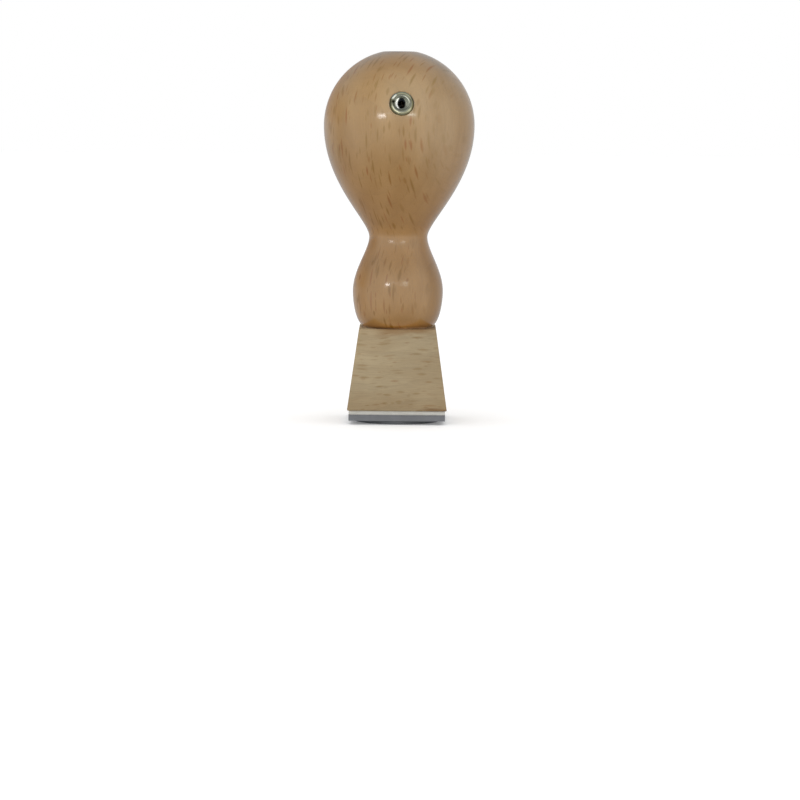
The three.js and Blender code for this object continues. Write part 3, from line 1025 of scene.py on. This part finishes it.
def grown(points, distance):
    """Closed anticlockwise outline moved outwards by a distance, its corners rounded off."""
    made = []
    count = len(points)
    for i, p in enumerate(points):
        before = (p - points[i - 1]).normalized()
        after = (points[(i + 1) % count] - p).normalized()
        out = Vector((before.y + after.y, -before.x - after.x)).normalized()
        made.append(p + out * distance)
    return made


# How far a raised figure has widened, as a share of the shoulder, at shares of the relief
WALL = ((0, 0), (0.02, 0.015), (0.1, 0.05), (0.3, 0.1), (0.55, 0.26), (0.8, 0.58), (1, 1))
# How far below the floor it goes on, in mm, to join the plate, and how wide it is there
SUNK = RELIEF + 0.2
SUNK_WIDTH = 1.05


def add_figure(bm, outline, hole=None):
    """Raised figure from its printing face at z = 0 to just inside the die's floor."""
    def wall(points, side):
        rings = []
        for down, out in (*WALL, (SUNK / RELIEF, SUNK_WIDTH)):
            ring = grown(points, side * SHOULDER * out)
            rings.append([Vector((p.x, p.y, down * RELIEF)) for p in ring])
        return rings

    if hole is None:
        middle = sum(outline, Vector((0, 0))) / len(outline)
        ends = [(middle.x, middle.y, 0)], [(middle.x, middle.y, SUNK)]
        add_rings(bm, [ends[0], *wall(outline, 1), ends[1]])
    else:
        add_rings(bm, wall(outline, 1) + wall(hole, -1)[::-1], closed=True)


def make_die(material):
    """Rubber plate with the rosette raised from it: a border ring, petals and dots."""
    low, high = RELIEF, RELIEF + DIE_FLOOR
    first, second, third, last = (
        square(PAD_HALF, z) for z in (low, low + 0.05, high - 0.05, high)
    )
    edge = [first, worn(second, 0, 0.03, 1.1, 7), worn(third, 1, 0.03, 1.1, 7), last]
    rings = [[(0, 0, low)]]
    rings += [shrunk(first, share, low) for share in (0.5, 0.95)]
    rings += edge
    rings += [shrunk(last, share, high) for share in (0.95, 0.5)]
    rings.append([(0, 0, high)])
    bm = bmesh.new()
    add_rings(bm, rings)
    made = finish_mesh(bm, "rubber_die_relief", material)

    figures = bmesh.new()
    border = ring_points(BORDER_RADIUS, 256), ring_points(BORDER_RADIUS - BORDER_WIDTH, 256)
    add_figure(figures, *border)
    add_figure(figures, ring_points(CENTRE_DOT_RADIUS, 40))
    for i in range(PETALS):
        turn = (i + 0.5) * 2 * math.pi / PETALS
        spin = Matrix.Rotation(turn, 2)
        add_figure(figures, [spin @ p for p in petal_points(36)])
        spin = Matrix.Rotation(turn + math.pi / PETALS, 2)
        away = spin @ Vector((DOT_RADIUS_OUT, 0))
        add_figure(figures, [p + away for p in ring_points(DOT_RADIUS, 48)])
    combine(made, figures, Matrix(), "UNION", SMOOTH_RUBBER, use_self=True)
    made.data.materials.clear()
    made.data.materials.append(material)
    return made


# Screw

def make_screw(material):
    """Double-ended screw as one skin whose radius follows a helix at both ends."""
    bottom, top = -SCREW_IN_BLOCK, SCREW_IN_HANDLE
    around, per_turn = 40, 16
    run_out, crest_width, sharpness = 0.9, 0.32, 0.8
    core = SCREW_RADIUS - THREAD_DEPTH
    levels = int((top - bottom) / THREAD_PITCH * per_turn)
    rings = [[(0, 0, bottom)]]
    for i in range(1, levels):
        z = bottom + (top - bottom) * i / levels
        taper = min(1, min(z - bottom, top - z) / SCREW_POINT)
        cut = min(1, max(0, (abs(z) - SCREW_SHANK / 2) / run_out))
        ring = []
        for k in range(around):
            a = 2 * math.pi * k / around
            phase = (z / THREAD_PITCH - a / (2 * math.pi)) % 1
            crest = max(0, 1 - abs(phase - 0.5) / crest_width)
            threaded = core + THREAD_DEPTH * crest**sharpness
            r = SCREW_SHANK_RADIUS * (1 - cut) + threaded * cut
            r *= taper**sharpness
            ring.append((r * math.cos(a), r * math.sin(a), z))
        rings.append(ring)
    rings.append([(0, 0, top)])
    bm = bmesh.new()
    add_rings(bm, rings)
    return finish_mesh(bm, "joint_screw_threaded", material, SMOOTH_METAL, HANDLE_PLACE)


# Floor and world

FLOOR_RADII = (60, 200, 600, 1500, 4000)
FLOOR_DROP = 0.02


def make_floor():
    """Pale floor, white to the camera. It keeps the stamp's shadow."""
    bm = bmesh.new()
    add_rings(bm, [[(0, 0, 0)]] + [circle(r, 0, 64) for r in FLOOR_RADII])
    material, s, shader = new_material("floor", Roughness=1, Specular_IOR_Level=0)
    seen = s.add("ShaderNodeLightPath").outputs["Is Camera Ray"]
    s.put(s.mix(seen, (0.72, 0.72, 0.72), (0.97, 0.97, 0.97)), shader.inputs["Base Color"])
    shader.inputs["Emission Color"].default_value = (1, 1, 1, 1)
    s.put(s.times(seen, 0.16), shader.inputs["Emission Strength"])
    floor = finish_mesh(bm, "floor", material, place=Matrix.Translation((0, 0, -FLOOR_DROP)))
    floor.visible_glossy = False


def make_world():
    """White to the camera, even for diffuse light, and a studio that is bright above for gloss."""
    world = bpy.data.worlds.new("studio")
    bpy.context.scene.world = world
    world.use_nodes = True
    tree = world.node_tree
    s = Shader(tree)
    background = tree.nodes["Background"]
    x, y, z = s.parts(s.add("ShaderNodeTexCoord").outputs["Generated"])

    # In front a bright band at eye level, and behind a dim one with blue light above it
    low = s.remap(z, -0.7, -0.15, 0.42, 1.25, smooth=False)
    level = s.math("MINIMUM", low, s.remap(z, 0.4, 0.95, 1.2, 0.6))
    front = s.stain(1, s.even(level), (1, 1.02, 0.95))
    level = s.math("MINIMUM", s.remap(z, -1, 0, 0.34, 0.5), s.remap(z, 0.1, 0.6, 0.5, 0.28))
    tint = s.mix(s.remap(z, 0.15, 0.65), (1.04, 1, 0.98), (0.95, 1.35, 1.7))
    back = s.stain(1, s.even(level), tint)
    brown = s.times(
        s.remap(x, -0.05, -0.25), s.remap(z, 0, 0.12), s.remap(z, 0.3, 0.5, 1, 0)
    )
    back = s.stain(brown, back, (0.80, 0.66, 0.60))
    studio = s.mix(s.remap(y, -0.35, 0.35), front, back)

    light = s.add("ShaderNodeLightPath").outputs
    colour = s.mix(light["Is Glossy Ray"], (0.88, 0.88, 0.88), studio)
    seen = s.math("MAXIMUM", light["Is Camera Ray"], light["Is Transmission Ray"])
    s.put(s.mix(seen, colour, (1, 1, 1)), background.inputs["Color"])
    background.inputs["Strength"].default_value = 1


bpy.context.scene.view_settings.view_transform = "Standard"
make_camera()
make_world()
make_floor()

# Name, azimuth, elevation, distance, size and radiance
lamp("key", -27, 15.3, 1.2, (0.22, 0.08), 14, (1, 0.96, 0.94))
lamp("fill", 19, 17.7, 1.2, (0.24, 0.055), 8, (0.95, 1, 0.92))
lamp("sill", -6, 19.5, 1.2, (0.8, 0.025), 2.5)
lamp("overhead", -30, 84, 0.9, (0.6, 0.6), 0.75, glossy=False)
lamp("front", -32, 12, 1.2, (0.6, 0.5), 0.4, glossy=False)

pieces = (
    (make_handle, lacquered_beech, "turned_handle", "lacquered_beech"),
    (make_eyelet, nickel, "front_marker_eyelet", "nickel_plate"),
    (make_screw, zinc, "joint_screw", "zinc_plated_steel"),
    (make_block, raw_beech, "mount_block", "raw_beech"),
    (make_foam, white_foam, "foam_layer", "white_foam"),
    (make_die, grey_rubber, "rubber_die", "grey_rubber"),
)
for make, finish, node, slot in pieces:
    piece = make(finish())
    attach(piece, "root")
    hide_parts(node)
    if node == "front_marker_eyelet":
        # Two windows that only its bright plate mirrors
        shine_only_on(lamp("window", -20, 12, 1.2, (0.8, 0.9), 3.3), piece)
        shine_only_on(lamp("side_window", 62, 12, 1.2, (1.4, 1.4), 0.6), piece)
